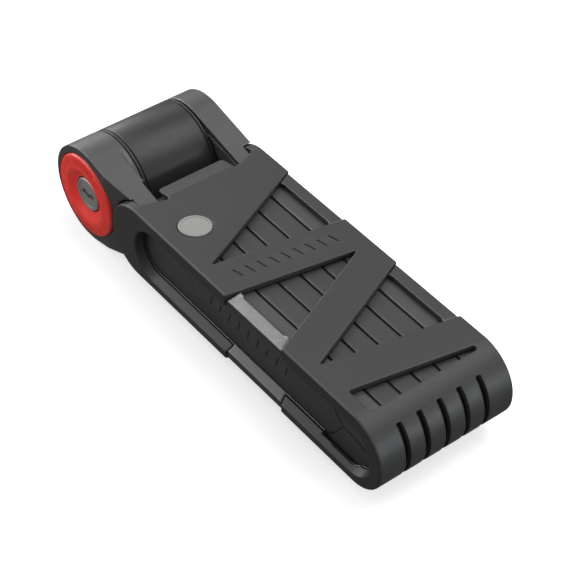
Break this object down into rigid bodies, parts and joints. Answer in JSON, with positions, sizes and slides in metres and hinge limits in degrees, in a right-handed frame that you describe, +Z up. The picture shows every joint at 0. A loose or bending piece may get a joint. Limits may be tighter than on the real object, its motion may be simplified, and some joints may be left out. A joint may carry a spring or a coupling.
{
  "type": "folding bike lock in carrying case",
  "caption": "Folded bar-link bike lock with a round keyed barrel head, stowed in a moulded case with a zig-zag band, side openings and tail slots.",
  "frame": {"origin": "under the middle of the whole object's bounding box, on the surface it stands on", "axes": "+X from the lock's barrel head to the case's rounded tail, +Y from the keyed side to the far side, +Z up out of the case's banded top"},
  "size_m": [0.1992, 0.0611, 0.0416],
  "materials": {
    "case_shell": "moulded glass-filled nylon, fine satin grain",
    "case_band": "moulded nylon, smooth satin with polished edges",
    "badge": "blank oval inlay, satin",
    "rubber": "matte black rubber",
    "link_cover": "soft-touch moulded cover",
    "barrel": "satin dark grey powder coat",
    "hardened_steel": "hardened, plain zinc",
    "bright_steel": "machined",
    "brass": "machined",
    "bezel": "red, satin, finely ribbed",
    "plug": "grey satin nickel"
  },
  "bodies": {
    "case": {"case_shell": "case_shell", "case_band": "case_band", "case_badge": "badge", "mount_pad_front": "rubber", "mount_pad_rear": "rubber"},
    "folded_links": {"link_1_core": "hardened_steel", "link_2_core": "hardened_steel", "link_3_core": "hardened_steel", "link_4_core": "hardened_steel", "link_5_core": "hardened_steel", "link_6_core": "hardened_steel", "link_1_cover": "link_cover", "link_2_cover": "link_cover", "link_3_cover": "link_cover", "link_4_cover": "link_cover", "link_5_cover": "link_cover", "link_6_cover": "link_cover", "fold_rivet_1_2": "bright_steel", "fold_rivet_2_3": "bright_steel", "fold_rivet_3_4": "bright_steel", "fold_rivet_4_5": "bright_steel", "fold_rivet_5_6": "bright_steel", "fold_washer_1_2": "brass", "fold_washer_2_3": "brass", "fold_washer_3_4": "brass", "fold_washer_4_5": "brass", "fold_washer_5_6": "brass", "locking_stud": "hardened_steel", "stud_flange": "barrel"},
    "lock_head": {"barrel_housing": "barrel", "lock_body": "hardened_steel", "thrust_ring": "barrel", "cylinder_housing": "brass", "retaining_ring": "bright_steel", "bezel_ring": "bezel", "bolt_spring": "bright_steel"},
    "key_plug": {"key_plug": "plug", "detainer_disc_1": "brass", "detainer_disc_2": "brass", "detainer_disc_3": "brass", "detainer_disc_4": "brass", "detainer_disc_5": "brass", "detainer_disc_6": "brass", "detainer_disc_7": "brass", "detainer_disc_8": "brass", "sidebar": "bright_steel", "driver_cam": "bright_steel"},
    "locking_bolt": {"locking_bolt": "hardened_steel"}
  },
  "joints": [
    {"name": "lock_slide", "type": "slide", "parent": "case", "child": "folded_links", "axis": [-1, 0, 0], "range_m": [0, 0.16]},
    {"name": "head_swivel", "type": "hinge", "parent": "folded_links", "child": "lock_head", "pos_m": [-0.0786, 0, 0.0208], "axis": [0, 1, 0], "range_deg": [-180, 180]},
    {"name": "key_turn", "type": "hinge", "parent": "lock_head", "child": "key_plug", "pos_m": [-0.0786, 0, 0.0208], "axis": [0, 1, 0], "range_deg": [0, 90]},
    {"name": "bolt_throw", "type": "slide", "parent": "lock_head", "child": "locking_bolt", "axis": [0, 0, 1], "range_m": [0, 0.0024], "deforming": ["bolt_spring"]}
  ],
  "couplings": [
    {"joint": "bolt_throw", "follows": "key_turn", "m_per_rad": 0.0015279}
  ]
}
